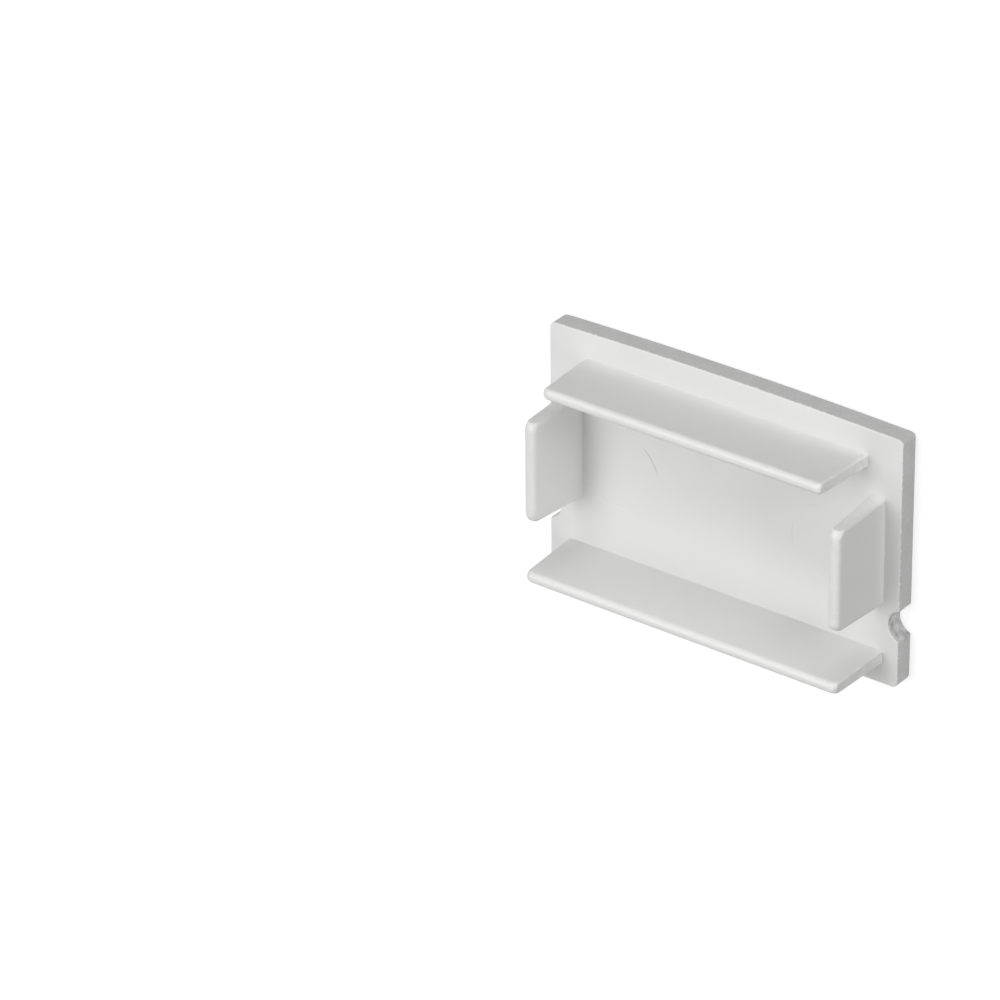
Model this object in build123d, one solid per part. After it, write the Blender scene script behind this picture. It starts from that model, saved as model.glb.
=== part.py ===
from build123d import *
import os

# Profile end cap, one moulded piece, in millimetres.
# It lies on its visible outer face at z = 0, with its four tongues pointing up.
# X runs along the width, Y towards the crowned top edge, Z in the direction of insertion.
# The origin is the middle of the outer face.

# Face plate
plate_width = 35.0
plate_side_height = 23.0
top_crown = 0.28
plate_thickness = 2.1
plate_corner_radius = 0.5
outer_edge_radius = 0.4
inner_edge_radius = 0.1

# Round notch in each side edge
notch_radius = 1.5
notch_outset = 0.47
notch_rise = 5.8

# What the four tongues share
tongue_reach = 6.48
tongue_shift = 0.2
tongue_edge_radius = 0.48
tongue_end_trim = 0.15

# Top tongue
top_margin = 2.22
top_tongue_end_inset = 3.5
top_tongue_root = 1.18
top_tongue_inner_draft = 0.08
top_tongue_outer_draft = 0.02
top_tongue_end_draft = 0.3
top_tongue_corner_radius = 0.6

# Bottom tongue
bottom_margin = 1.84
bottom_tongue_end_inset = 1.7
bottom_tongue_root = 1.23
bottom_tongue_inner_draft = 0.23
bottom_tongue_outer_draft = -0.06
bottom_tongue_end_draft = 0.22
bottom_tongue_corner_radius = 0.75

# Side tongues
side_margin = 1.73
side_tongue_foot = 7.4
side_tongue_length = 9.9
side_tongue_root = 1.4
side_tongue_inner_draft = 0.22
side_tongue_outer_draft = 0.05
side_tongue_end_draft = 0.34
side_tongue_corner_radius = 0.9

# Edges of the plate, from the origin
plate_height = plate_side_height + top_crown
side_edge = plate_width / 2
bottom_edge = -plate_height / 2
side_top = bottom_edge + plate_side_height


def face_plate():
    """The plate with its crowned top edge, round corners and side notches."""
    bottom_left = (-side_edge, bottom_edge)
    bottom_right = (side_edge, bottom_edge)
    top_right = (side_edge, side_top)
    top_left = (-side_edge, side_top)
    sides = Polyline(top_left, bottom_left, bottom_right, top_right)
    crown = ThreePointArc(top_right, (0, side_top + top_crown), top_left)
    outline = make_face([sides, crown])
    outline = fillet(outline.vertices(), plate_corner_radius)
    for side in (-1, 1):
        centre = (side * (side_edge + notch_outset), bottom_edge + notch_rise)
        outline -= Pos(*centre) * Circle(notch_radius)
    plate = extrude(outline, plate_thickness)
    outer_rim = plate.edges().group_by(Axis.Z)[0]
    plate = fillet(outer_rim, outer_edge_radius)
    inner_rim = plate.edges().group_by(Axis.Z)[-1]
    return fillet(inner_rim, inner_edge_radius)


def end_outline(length, foot, tip, end_draft):
    """A tongue seen along Y: upright ends with a draft."""
    return make_face(
        Polyline(
            (-length / 2, foot),
            (length / 2, foot),
            (length / 2 - end_draft, tip),
            (-length / 2 + end_draft, tip),
            close=True,
        )
    )


def tongue(outer_face, root, length, inner_draft, outer_draft, end_draft, corner_radius):
    """A tapered tongue on the plate, its length along X and its outer face towards +Y."""
    foot = plate_thickness
    tip = foot + tongue_reach
    inner_face = outer_face - root
    section = Plane.YZ * make_face(
        Polyline(
            (inner_face, foot),
            (outer_face, foot),
            (outer_face - outer_draft, tip),
            (inner_face + inner_draft, tip),
            close=True,
        )
    )
    trimmed = end_outline(length, foot, tip, end_draft)
    outline = end_outline(length + 2 * tongue_end_trim, foot, tip, end_draft)
    outline = Plane.XZ * fillet(outline.vertices().group_by(Axis.Y)[-1], corner_radius)
    blade = extrude(section, plate_width, both=True) & extrude(outline, plate_width, both=True)
    broad_faces = blade.faces().sort_by(SortBy.AREA)[-2:]
    rim = [edge for face in broad_faces for edge in face.edges() if edge.center().Z > foot + corner_radius / 2]
    blade = fillet(rim, tongue_edge_radius)
    return blade & extrude(Plane.XZ * trimmed, plate_width, both=True)


def side_length(inset):
    """Length of a tongue whose ends stand in from both side edges."""
    return plate_width - 2 * inset


top_tongue = tongue(
    side_top - top_margin,
    top_tongue_root,
    side_length(top_tongue_end_inset),
    top_tongue_inner_draft,
    top_tongue_outer_draft,
    top_tongue_end_draft,
    top_tongue_corner_radius,
)
bottom_tongue = Rot(0, 0, 180) * tongue(
    -bottom_edge - bottom_margin,
    bottom_tongue_root,
    side_length(bottom_tongue_end_inset),
    bottom_tongue_inner_draft,
    bottom_tongue_outer_draft,
    bottom_tongue_end_draft,
    bottom_tongue_corner_radius,
)
side_tongue = tongue(
    side_edge - side_margin,
    side_tongue_root,
    side_tongue_length,
    side_tongue_inner_draft,
    side_tongue_outer_draft,
    side_tongue_end_draft,
    side_tongue_corner_radius,
)
side_tongue_middle = bottom_edge + side_tongue_foot + side_tongue_length / 2
left_tongue = Pos(0, side_tongue_middle) * Rot(0, 0, 90) * side_tongue
right_tongue = Pos(0, side_tongue_middle) * Rot(0, 0, -90) * side_tongue

plug = Pos(tongue_shift, 0) * (top_tongue + bottom_tongue + left_tongue + right_tongue)
cap = face_plate() + plug

os.makedirs("parts", exist_ok=True)
export_step(cap, "parts/end_cap.step")
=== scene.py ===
import logging
import math
from dataclasses import dataclass, field
from enum import Enum

import bmesh
import bpy
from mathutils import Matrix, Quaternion, Vector


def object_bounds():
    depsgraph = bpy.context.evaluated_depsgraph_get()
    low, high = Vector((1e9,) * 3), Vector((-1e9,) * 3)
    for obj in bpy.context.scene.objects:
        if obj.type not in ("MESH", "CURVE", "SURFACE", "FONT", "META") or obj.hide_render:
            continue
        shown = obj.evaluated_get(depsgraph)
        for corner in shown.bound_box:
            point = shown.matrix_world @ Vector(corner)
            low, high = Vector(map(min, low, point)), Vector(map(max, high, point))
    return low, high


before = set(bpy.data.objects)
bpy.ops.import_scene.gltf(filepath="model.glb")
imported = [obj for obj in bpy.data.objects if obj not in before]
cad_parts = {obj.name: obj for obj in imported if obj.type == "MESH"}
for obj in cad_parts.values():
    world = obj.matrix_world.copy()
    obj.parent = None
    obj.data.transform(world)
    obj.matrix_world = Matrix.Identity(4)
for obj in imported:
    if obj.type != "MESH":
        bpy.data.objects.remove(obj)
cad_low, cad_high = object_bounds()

LOG = logging.getLogger("profile_end_cap")
CAP_NODE = "end_cap"

SIDE_EDGE = cad_high[0]
BOTTOM_EDGE = cad_low[1]
TIP = cad_high[2]

Socket = bpy.types.NodeSocket


def direction(azimuth: float, elevation: float) -> Vector:
    """Turn two angles into a direction.

    Args:
        azimuth: Angle about Z from +X, in degrees.
        elevation: Angle above the floor, in degrees.

    Returns:
        The direction, of length 1.
    """
    turn = math.radians(azimuth)
    rise = math.radians(elevation)
    level = math.cos(rise)
    return Vector((math.cos(turn) * level, math.sin(turn) * level, math.sin(rise)))


class Ray(Enum):
    """Kinds of ray that the white background answers to, by the Light Path output's name."""

    CAMERA = "Is Camera Ray"
    GLOSSY = "Is Glossy Ray"
    TRANSMISSION = "Is Transmission Ray"


class Blend(Enum):
    """What a Mix node blends, by its data type and the places of its inputs and output."""

    VALUE = ("FLOAT", 2, 3, 0)
    COLOR = ("RGBA", 6, 7, 2)


@dataclass(frozen=True)
class Nodes:
    """A short way to add nodes to one node tree."""

    tree: bpy.types.NodeTree

    def add(self, kind: str, **settings: object) -> bpy.types.Node:
        """Add a node and set its properties.

        Args:
            kind: The node's type name.
            settings: Properties of the node, by name.

        Returns:
            The new node.
        """
        node = self.tree.nodes.new(kind)
        for name, value in settings.items():
            setattr(node, name, value)
        return node

    def link(self, source: Socket, target: Socket) -> None:
        """Join an output to an input."""
        self.tree.links.new(source, target)

    def feed(self, node: bpy.types.Node, name: str | int, value: object) -> None:
        """Give an input a value, or a link where the value is a socket.

        Args:
            node: The node that gets the value.
            name: The input's name or place.
            value: The value or socket.
        """
        if isinstance(value, Socket):
            self.link(value, node.inputs[name])
        else:
            node.inputs[name].default_value = value

    def math(
        self, operation: str, first: object, second: object = 0.0, third: object = 0.0
    ) -> Socket:
        """Add a Math node.

        Args:
            operation: The Math node's operation.
            first: First value or socket.
            second: Second value or socket.
            third: Third value or socket, where the operation has one.

        Returns:
            The node's output.
        """
        node = self.add("ShaderNodeMath", operation=operation)
        self.feed(node, 0, first)
        self.feed(node, 1, second)
        self.feed(node, 2, third)
        return node.outputs[0]

    def ramp(self, value: Socket, low: float, high: float) -> Socket:
        """Add a smooth rise from 0 at one value to 1 at another.

        Args:
            value: The value to follow.
            low: Value at which the result is 0.
            high: Value at which the result is 1.

        Returns:
            The rise, from 0 to 1.
        """
        node = self.add("ShaderNodeMapRange", interpolation_type="SMOOTHSTEP")
        self.feed(node, "Value", value)
        self.feed(node, "From Min", low)
        self.feed(node, "From Max", high)
        return node.outputs["Result"]

    def noise(self, point: Socket, size: float, detail: float = 2.0) -> Socket:
        """Add a noise pattern.

        Args:
            point: Coordinates that the pattern lies on.
            size: Size of one patch of the pattern, in metres.
            detail: Number of finer layers.

        Returns:
            The noise, from 0 to 1 with its middle at 0.5.
        """
        node = self.add("ShaderNodeTexNoise")
        self.feed(node, "Vector", point)
        self.feed(node, "Scale", 1.0 / size)
        self.feed(node, "Detail", detail)
        return node.outputs["Fac"]

    def rough(self, point: Socket, size: float, detail: float = 3.0) -> Socket:
        """Add a noise with its middle at 0."""
        return self.math("SUBTRACT", self.noise(point, size, detail), 0.5)

    def distance(self, dx: Socket, dy: Socket) -> Socket:
        """Add the length of two offsets at right angles."""
        square = self.math("MULTIPLY_ADD", dx, dx, self.math("MULTIPLY", dy, dy))
        return self.math("SQRT", square)

    def blend(
        self, factor: object, first: object, second: object, kind: Blend = Blend.VALUE
    ) -> Socket:
        """Add a Mix node.

        Args:
            factor: Share of the second input.
            first: First value, colour or socket.
            second: Second value, colour or socket.
            kind: Whether values or colours are blended.

        Returns:
            The mix.
        """
        data_type, first_slot, second_slot, output = kind.value
        node = self.add("ShaderNodeMix", data_type=data_type)
        self.feed(node, 0, factor)
        self.feed(node, first_slot, first)
        self.feed(node, second_slot, second)
        return node.outputs[output]

    def tinted(self, color: tuple[float, float, float], gain: Socket) -> Socket:
        """Multiply a colour by a value that varies over the surface.

        Args:
            color: The colour at a gain of 1.
            gain: The varying value.

        Returns:
            The varying colour.
        """
        node = self.add("ShaderNodeVectorMath", operation="SCALE")
        self.feed(node, 0, color)
        self.feed(node, "Scale", gain)
        return node.outputs[0]


@dataclass(frozen=True)
class Place:
    """Where a point of the cap lies, in metres, as sockets of one material."""

    point: Socket
    x: Socket
    y: Socket
    z: Socket
    on_plate: Socket
    on_tongue: Socket

    @classmethod
    def read(cls, nodes: Nodes, plate_top: float) -> "Place":
        """Read the place from the Object coordinates.

        Args:
            nodes: The material's nodes.
            plate_top: Height just above the plate's inner face, in metres.

        Returns:
            The place.
        """
        point = nodes.add("ShaderNodeTexCoord").outputs["Object"]
        split = nodes.add("ShaderNodeSeparateXYZ")
        nodes.link(point, split.inputs[0])
        x, y, z = split.outputs
        on_plate = nodes.math("LESS_THAN", z, plate_top)
        return cls(point, x, y, z, on_plate, nodes.math("SUBTRACT", 1.0, on_plate))


@dataclass(frozen=True)
class PaintedArc:
    """A stretch of a pin mark's edge with painted shade or a painted highlight on it.

    The shade is painted where the edge's small step faces away from the lamps, and the highlight
    where it faces them. The turn is the direction of its middle from +X, in degrees. The last
    value is the painted change of gain: painted shade below 0, a painted highlight above 0.
    """

    turn: float
    half_span: float
    tone: float


@dataclass(frozen=True)
class PinMark:
    """The faint round mark of an ejector pin on the plate's inner face, in metres and degrees."""

    x: float
    y: float
    radius: float
    # Arcs of painted shade and painted highlight along the mark's edge.
    painted_arcs: tuple[PaintedArc, ...]
    edge: float = 0.00012
    line: float = 0.00006
    depth: float = 0.000006
    low_side: float = -135.0

    def spot(self, nodes: Nodes, place: Place) -> tuple[Socket, Socket, Socket]:
        """Measure a point from the mark's centre.

        Args:
            nodes: The material's nodes.
            place: Where the point lies.

        Returns:
            The two offsets, and the distance.
        """
        dx = nodes.math("SUBTRACT", place.x, self.x)
        dy = nodes.math("SUBTRACT", place.y, self.y)
        return dx, dy, nodes.distance(dx, dy)

    def along(self, nodes: Nodes, dx: Socket, dy: Socket, turn: float) -> Socket:
        """Measure the offsets towards one direction.

        Args:
            nodes: The material's nodes.
            dx: Offset from the centre along the width.
            dy: Offset from the centre along the height.
            turn: The direction, in degrees from +X.

        Returns:
            The distance, as a share of the radius.
        """
        angle = math.radians(turn)
        part = nodes.math("MULTIPLY", dy, math.sin(angle) / self.radius)
        return nodes.math("MULTIPLY_ADD", dx, math.cos(angle) / self.radius, part)

    def relief(self, nodes: Nodes, place: Place) -> Socket:
        """Make the mark's height: a round land, tilted a little against the face.

        Args:
            nodes: The material's nodes.
            place: Where the point lies.

        Returns:
            The height, in metres.
        """
        dx, dy, distance = self.spot(nodes, place)
        outside = nodes.ramp(distance, self.radius - self.edge / 2, self.radius + self.edge / 2)
        inside = nodes.math("MULTIPLY", nodes.math("SUBTRACT", 1.0, outside), place.on_plate)
        tilt = nodes.math("MULTIPLY", self.along(nodes, dx, dy, self.low_side), -self.depth)
        return nodes.math("MULTIPLY", inside, tilt)

    def tone(self, nodes: Nodes, place: Place) -> Socket:
        """Make the painted shade and painted highlights on the arcs of the mark's edge.

        Args:
            nodes: The material's nodes.
            place: Where the point lies.

        Returns:
            The painted change of gain, which is 0 away from the arcs.
        """
        dx, dy, distance = self.spot(nodes, place)
        off = nodes.math("ABSOLUTE", nodes.math("SUBTRACT", distance, self.radius))
        away = nodes.ramp(off, self.line / 2, self.line * 1.5)
        # A thin line along the mark's edge, which carries the painted shade and highlights.
        painted_rim = nodes.math("MULTIPLY", nodes.math("SUBTRACT", 1.0, away), place.on_plate)
        total: object = 0.0
        for arc in self.painted_arcs:
            facing = self.along(nodes, dx, dy, arc.turn)
            edge = math.cos(math.radians(arc.half_span))
            core = math.cos(math.radians(arc.half_span / 3))
            total = nodes.math("MULTIPLY_ADD", nodes.ramp(facing, edge, core), arc.tone, total)
        return nodes.math("MULTIPLY", painted_rim, total)


@dataclass(frozen=True)
class Notch:
    """The rough, patchy coat in the round notch of each side edge, in metres.

    The place is the middle of the right notch. The left one mirrors it.
    """

    x: float = SIDE_EDGE + 0.00047
    y: float = BOTTOM_EDGE + 0.0058
    radius: float = 0.0015
    lip: float = 0.0004
    patch_size: float = 0.0007
    patch_spread: float = 1.8
    ragged: float = 0.0007
    height: float = 0.00012

    def patches(self, nodes: Nodes, place: Place) -> Socket:
        """Make the patches of the rough coat.

        Args:
            nodes: The material's nodes.
            place: Where the point lies.

        Returns:
            Values around 0 in both notches, and 0 away from their lips.
        """
        dx = nodes.math("SUBTRACT", nodes.math("ABSOLUTE", place.x), self.x)
        dy = nodes.math("SUBTRACT", place.y, self.y)
        away = nodes.ramp(nodes.distance(dx, dy), self.radius, self.radius + self.lip)
        near = nodes.math("SUBTRACT", 1.0, away)
        return nodes.math("MULTIPLY", nodes.rough(place.point, self.patch_size), near)


@dataclass(frozen=True)
class TongueEnds:
    """The rough skin on the flat ends of the tongues, in metres.

    The side tongues stand within the side span of the width's axis, and the long ones past it.
    """

    middle_x: float = 0.0002
    top_half: float = SIDE_EDGE - 0.0038
    bottom_half: float = SIDE_EDGE - 0.0019
    side_middle: float = BOTTOM_EDGE + 0.01235
    side_half: float = 0.00462
    side_span: float = 0.0075
    band: float = 0.00025
    side_share: float = 0.4
    patch_size: float = 0.0006
    patch_detail: float = 1.0
    patch_spread: float = 0.25
    height: float = 0.00014

    def past(self, nodes: Nodes, along: Socket, middle: float, half: float) -> Socket:
        """Rise from 0 to 1 near both ends of a length.

        Args:
            nodes: The material's nodes.
            along: Place along the length.
            middle: Middle of the length.
            half: Half of the length.

        Returns:
            1 past the ends, and 0 between them.
        """
        off = nodes.math("ABSOLUTE", nodes.math("SUBTRACT", along, middle))
        return nodes.ramp(off, half - self.band, half)

    def patches(self, nodes: Nodes, place: Place) -> Socket:
        """Make the patches of the rough skin.

        Args:
            nodes: The material's nodes.
            place: Where the point lies.

        Returns:
            Values around 0 at the tongues' ends, and 0 elsewhere.
        """
        top = nodes.math("GREATER_THAN", place.y, self.side_span)
        bottom = nodes.math("LESS_THAN", place.y, -self.side_span)
        ends = self.past(nodes, place.y, self.side_middle, self.side_half)
        ends = nodes.math("MULTIPLY", ends, self.side_share)
        ends = nodes.blend(top, ends, self.past(nodes, place.x, self.middle_x, self.top_half))
        ends = nodes.blend(bottom, ends, self.past(nodes, place.x, self.middle_x, self.bottom_half))
        ends = nodes.math("MULTIPLY", ends, place.on_tongue)
        patches = nodes.rough(place.point, self.patch_size, self.patch_detail)
        return nodes.math("MULTIPLY", patches, ends)


@dataclass(frozen=True)
class CapFinish:
    """The bare moulded plastic, and the silver coat on the outer face and the edges."""

    plastic_color: tuple[float, float, float] = (0.749, 0.751, 0.737)
    plastic_roughness: float = 0.34
    plastic_gloss: float = 0.35
    silver_color: tuple[float, float, float] = (0.512, 0.512, 0.508)
    silver_roughness: float = 0.46
    silver_metallic: float = 0.3
    coat_edge: float = 0.00204
    coat_fade: float = 0.00002
    fleck_size: float = 0.00035
    fleck_start: float = 0.52
    fleck_full: float = 0.66
    fleck_reach: float = 0.00012
    coat_cloud_size: float = 0.0014
    coat_cloud_spread: float = 0.14
    flake_size: float = 0.00013
    edge_flake_spread: float = 0.1
    face_flake_spread: float = 0.5
    rim_height: float = 0.0004
    coat_peel: float = 0.000002
    coat_peel_size: float = 0.0004
    cloud_size: float = 0.006
    cloud_spread: float = 0.03
    skin_size: float = 0.0012
    skin_height: float = 0.0000025
    grain_size: float = 0.00012
    grain_height: float = 0.0000003
    plate_top: float = 0.00215
    tip_start: float = TIP - 0.00078
    tip_end: float = TIP - 0.00018
    tip_size: float = 0.0006
    tip_height: float = 0.00007
    notch: Notch = Notch()
    tongue_ends: TongueEnds = TongueEnds()
    # Each mark's arcs hold a turn, a half span and a painted change of gain: painted shade below 0,
    # a painted highlight above 0.
    pin_marks: tuple[PinMark, ...] = (
        PinMark(
            x=-0.01,
            y=-0.00048,
            radius=0.00357,
            painted_arcs=(PaintedArc(35.0, 24.0, -0.25), PaintedArc(-93.0, 18.0, 0.05), PaintedArc(-122.0, 9.0, -0.06)),
        ),
        PinMark(
            x=0.01037,
            y=-0.00039,
            radius=0.0034,
            painted_arcs=(PaintedArc(182.0, 20.0, -0.07), PaintedArc(114.0, 13.0, -0.06), PaintedArc(-100.0, 16.0, 0.05)),
        ),
    )

    def coat(self, nodes: Nodes, place: Place, worn: Socket) -> Socket:
        """Mark where the silver coat lies.

        Args:
            nodes: The material's nodes.
            place: Where the point lies.
            worn: The rough patches in the notches.

        Returns:
            1 under the coat, and 0 on bare plastic, with small bare flecks at the coat's edge.
        """
        spots = nodes.noise(place.point, self.fleck_size)
        flecks = nodes.ramp(spots, self.fleck_start, self.fleck_full)
        level = nodes.math("MULTIPLY_ADD", flecks, self.fleck_reach, place.z)
        level = nodes.math("MULTIPLY_ADD", worn, -self.notch.ragged, level)
        low = self.coat_edge - self.coat_fade
        high = self.coat_edge + self.coat_fade
        return nodes.math("SUBTRACT", 1.0, nodes.ramp(level, low, high))

    def silver_gain(self, nodes: Nodes, place: Place, worn: Socket) -> Socket:
        """Make the gain of the silver colour: faint clouds, and one value for each flake.

        Args:
            nodes: The material's nodes.
            place: Where the point lies.
            worn: The rough patches in the notches.

        Returns:
            The gain, around 1, which spreads more on the outer face than on the edges.
        """
        cells = nodes.add("ShaderNodeTexVoronoi", feature="F1")
        nodes.feed(cells, "Vector", place.point)
        nodes.feed(cells, "Scale", 1.0 / self.flake_size)
        split = nodes.add("ShaderNodeSeparateColor")
        nodes.link(cells.outputs["Color"], split.inputs[0])
        flakes = nodes.math("SUBTRACT", split.outputs[0], 0.5)
        edge = nodes.ramp(place.z, 0.0, self.rim_height)
        spread = nodes.blend(edge, self.face_flake_spread, self.edge_flake_spread)
        clouds = nodes.noise(place.point, self.coat_cloud_size)
        least = 1.0 - self.coat_cloud_spread / 2
        gain = nodes.math("MULTIPLY_ADD", clouds, self.coat_cloud_spread, least)
        gain = nodes.math("MULTIPLY_ADD", flakes, spread, gain)
        return nodes.math("MULTIPLY_ADD", worn, self.notch.patch_spread, gain)

    def plastic_gain(self, nodes: Nodes, place: Place, ends: Socket) -> Socket:
        """Make the gain of the plastic's colour: faint clouds, rough ends, and painted shade and
        highlights on the pin marks' edges.

        Args:
            nodes: The material's nodes.
            place: Where the point lies.
            ends: The rough patches on the tongues' ends.

        Returns:
            The gain, around 1.
        """
        clouds = nodes.noise(place.point, self.cloud_size)
        gain = nodes.math("MULTIPLY_ADD", clouds, self.cloud_spread, 1.0 - self.cloud_spread / 2)
        gain = nodes.math("MULTIPLY_ADD", ends, self.tongue_ends.patch_spread, gain)
        # Painted shade and painted highlights along the pin marks' edges.
        for mark in self.pin_marks:
            gain = nodes.math("ADD", mark.tone(nodes, place), gain)
        return gain

    def plastic_relief(self, nodes: Nodes, place: Place, ends: Socket) -> Socket:
        """Make the plastic's fine relief: skin, grain, pin marks, rough ends and uneven tips.

        Args:
            nodes: The material's nodes.
            place: Where the point lies.
            ends: The rough patches on the tongues' ends.

        Returns:
            The height, in metres.
        """
        height = nodes.math("MULTIPLY", nodes.noise(place.point, self.skin_size), self.skin_height)
        grain = nodes.noise(place.point, self.grain_size)
        height = nodes.math("MULTIPLY_ADD", grain, self.grain_height, height)
        for mark in self.pin_marks:
            height = nodes.math("ADD", mark.relief(nodes, place), height)
        tip = nodes.ramp(place.z, self.tip_start, self.tip_end)
        tip = nodes.math("MULTIPLY", nodes.rough(place.point, self.tip_size), tip)
        height = nodes.math("MULTIPLY_ADD", tip, self.tip_height, height)
        return nodes.math("MULTIPLY_ADD", ends, self.tongue_ends.height, height)

    def material(self) -> bpy.types.Material:
        """Make the cap's material.

        Returns:
            The material, with the coat below the plate's inner edge and bare plastic above it.
        """
        made = bpy.data.materials.new("moulded_cap")
        made.use_nodes = True
        nodes = Nodes(made.node_tree)
        shader = made.node_tree.nodes["Principled BSDF"]
        place = Place.read(nodes, self.plate_top)
        worn = self.notch.patches(nodes, place)
        ends = self.tongue_ends.patches(nodes, place)
        coat = self.coat(nodes, place, worn)
        plastic = nodes.tinted(self.plastic_color, self.plastic_gain(nodes, place, ends))
        silver = nodes.tinted(self.silver_color, self.silver_gain(nodes, place, worn))
        color = nodes.blend(coat, plastic, silver, Blend.COLOR)
        roughness = nodes.blend(coat, self.plastic_roughness, self.silver_roughness)
        peel = nodes.math("MULTIPLY", nodes.noise(place.point, self.coat_peel_size), self.coat_peel)
        height = nodes.blend(coat, self.plastic_relief(nodes, place, ends), peel)
        height = nodes.math("MULTIPLY_ADD", worn, self.notch.height, height)
        bump = nodes.add("ShaderNodeBump")
        bump.inputs["Distance"].default_value = 1.0
        nodes.link(height, bump.inputs["Height"])
        nodes.link(color, shader.inputs["Base Color"])
        nodes.link(roughness, shader.inputs["Roughness"])
        nodes.link(nodes.math("MULTIPLY", coat, self.silver_metallic), shader.inputs["Metallic"])
        shader.inputs["Specular IOR Level"].default_value = self.plastic_gloss
        nodes.link(bump.outputs[0], shader.inputs["Normal"])
        return made


@dataclass
class EndCap:
    """The moulded cap itself, which is the frame's one node."""

    finish: CapFinish = field(default_factory=CapFinish)

    def dress(self) -> bpy.types.Object:
        """Give the cap its finish.

        Returns:
            The cap's object.
        """
        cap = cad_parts[CAP_NODE]
        cap.data.materials.clear()
        cap.data.materials.append(self.finish.material())
        return cap


@dataclass(frozen=True)
class SoftBox:
    """One square soft lamp that faces the cap, placed by two angles in degrees."""

    name: str
    azimuth: float
    elevation: float
    power: float
    distance: float = 0.6
    width: float = 0.36

    def place(self, target: Vector) -> bpy.types.Object:
        """Make the lamp.

        Args:
            target: The point that the lamp faces.

        Returns:
            The lamp's object.
        """
        lamp = bpy.data.lights.new(self.name, "AREA")
        lamp.shape = "SQUARE"
        lamp.size = self.width
        lamp.energy = self.power
        thing = bpy.data.objects.new(self.name, lamp)
        bpy.context.scene.collection.objects.link(thing)
        towards = direction(self.azimuth, self.elevation)
        thing.location = target + towards * self.distance
        thing.rotation_euler = towards.to_track_quat("Z", "Y").to_euler()
        return thing


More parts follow.
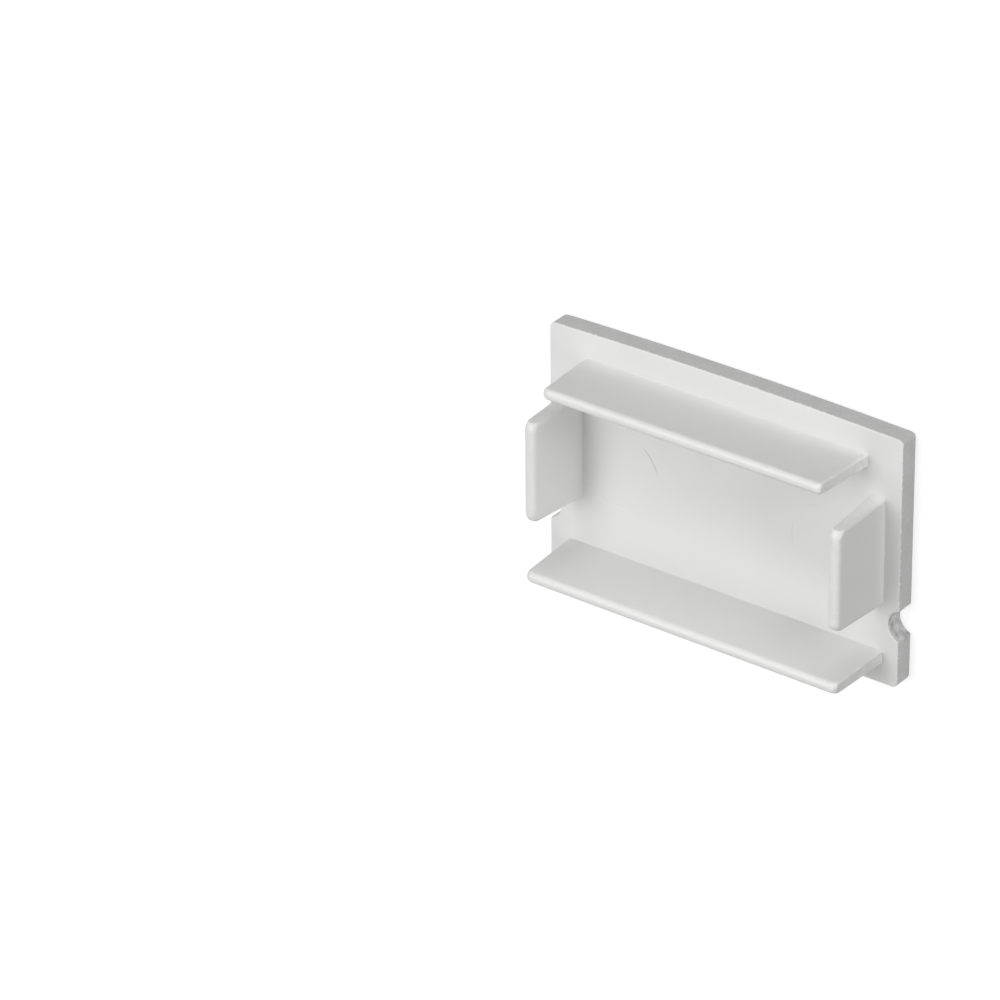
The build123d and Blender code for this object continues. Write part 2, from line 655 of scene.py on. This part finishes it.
@dataclass
class Studio:
    """Floor, backdrop, lamps and camera."""

    eye_azimuth: float = 43.0996
    eye_elevation: float = 43.9713
    eye_distance: float = 0.524332
    aim: tuple[float, float, float] = (-0.020634, -0.005319, 0.005)
    roll: float = -123.5467
    lens: float = 225.153
    sensor: float = 36.0
    near_clip: float = 0.01
    far_clip: float = 20.0
    floor_drop: float = 0.00005
    floor_radius: float = 3.0
    floor_sides: int = 64
    floor_shaded: float = 0.4
    floor_glow: float = 0.75
    floor_bounce: float = 0.04
    sky: float = 0.03
    boxes: tuple[SoftBox, ...] = (
        SoftBox("top_edge", 90.0, 4.0, 1.15),
        SoftBox("low_right", 0.0, 15.0, 1.38),
        SoftBox("low_right_top", 45.0, 15.0, 0.96),
        SoftBox("top", 90.0, 42.0, 0.51),
        SoftBox("left", 180.0, 42.0, 0.2),
        SoftBox("high_left_top", 135.0, 66.0, 1.74),
        SoftBox("high_left_low", 225.0, 66.0, 0.56),
        SoftBox("overhead", 180.0, 76.0, 0.17),
        SoftBox("back_fill", 225.0, 4.0, 0.45),
    )

    def camera(self) -> bpy.types.Object:
        """Make the camera at the photograph's viewing angle.

        Returns:
            The camera's object.
        """
        data = bpy.data.cameras.new("camera")
        data.lens = self.lens
        data.sensor_width = self.sensor
        data.clip_start = self.near_clip
        data.clip_end = self.far_clip
        thing = bpy.data.objects.new("camera", data)
        bpy.context.scene.collection.objects.link(thing)
        back = direction(self.eye_azimuth, self.eye_elevation)
        thing.location = Vector(self.aim) + back * self.eye_distance
        upright = back.to_track_quat("Z", "Y")
        turned = Quaternion((0.0, 0.0, 1.0), math.radians(self.roll))
        thing.rotation_euler = (upright @ turned).to_euler()
        bpy.context.scene.camera = thing
        return thing

    def seen_by(self, nodes: Nodes) -> Socket:
        """Mark the rays that see the background white.

        Args:
            nodes: The nodes of the floor's material or of the world.

        Returns:
            1 for those rays, and 0 for the light that falls on the cap.
        """
        path = nodes.add("ShaderNodeLightPath")
        total = nodes.math("ADD", path.outputs[Ray.CAMERA.value], path.outputs[Ray.GLOSSY.value])
        total = nodes.math("ADD", total, path.outputs[Ray.TRANSMISSION.value])
        return nodes.math("MINIMUM", total, 1.0)

    def floor(self) -> bpy.types.Object:
        """Make the pale floor just under the cap.

        Returns:
            The floor's object.
        """
        shape = bmesh.new()
        bmesh.ops.create_circle(
            shape, cap_ends=True, segments=self.floor_sides, radius=self.floor_radius
        )
        bmesh.ops.translate(shape, verts=shape.verts, vec=(0.0, 0.0, -self.floor_drop))
        mesh = bpy.data.meshes.new("floor")
        shape.to_mesh(mesh)
        shape.free()
        made = bpy.data.materials.new("pale_floor")
        made.use_nodes = True
        nodes = Nodes(made.node_tree)
        made.node_tree.nodes.clear()
        shaded = nodes.add("ShaderNodeBsdfDiffuse")
        shaded.inputs["Color"].default_value = (self.floor_shaded,) * 3 + (1.0,)
        glow = nodes.add("ShaderNodeEmission")
        glow.inputs["Strength"].default_value = self.floor_glow
        seen = nodes.add("ShaderNodeAddShader")
        nodes.link(shaded.outputs[0], seen.inputs[0])
        nodes.link(glow.outputs[0], seen.inputs[1])
        bounce = nodes.add("ShaderNodeBsdfDiffuse")
        bounce.inputs["Color"].default_value = (self.floor_bounce,) * 3 + (1.0,)
        mix = nodes.add("ShaderNodeMixShader")
        nodes.link(self.seen_by(nodes), mix.inputs[0])
        nodes.link(bounce.outputs[0], mix.inputs[1])
        nodes.link(seen.outputs[0], mix.inputs[2])
        output = nodes.add("ShaderNodeOutputMaterial")
        nodes.link(mix.outputs[0], output.inputs[0])
        mesh.materials.append(made)
        thing = bpy.data.objects.new("floor", mesh)
        bpy.context.scene.collection.objects.link(thing)
        return thing

    def world(self) -> None:
        """Make the plain sky: white to the eye, and dimmer as a light."""
        world = bpy.data.worlds.new("studio")
        world.use_nodes = True
        bpy.context.scene.world = world
        nodes = Nodes(world.node_tree)
        background = world.node_tree.nodes["Background"]
        background.inputs["Color"].default_value = (1.0, 1.0, 1.0, 1.0)
        gain = nodes.math("MULTIPLY", self.seen_by(nodes), 1.0 - self.sky)
        nodes.link(nodes.math("ADD", gain, self.sky), background.inputs["Strength"])

    def lamps(self, target: Vector) -> list[bpy.types.Object]:
        """Make the soft lamps around the cap, which all face the target."""
        return [box.place(target) for box in self.boxes]


def main() -> None:
    """Dress the cap and set up the studio around it."""
    logging.basicConfig(level=logging.INFO, format="%(name)s: %(message)s")
    bpy.context.scene.view_settings.view_transform = "Standard"
    cap = EndCap().dress()
    LOG.info("%s: %d faces", cap.name, len(cap.data.polygons))
    studio = Studio()
    camera = studio.camera()
    LOG.info("%s: %.0f mm lens", camera.name, camera.data.lens)
    floor = studio.floor()
    LOG.info("%s: %.1f m radius", floor.name, studio.floor_radius)
    studio.world()
    lamps = studio.lamps((Vector(cad_low) + Vector(cad_high)) / 2)
    LOG.info("lamps: %d soft boxes", len(lamps))


if __name__ == "__main__":
    main()
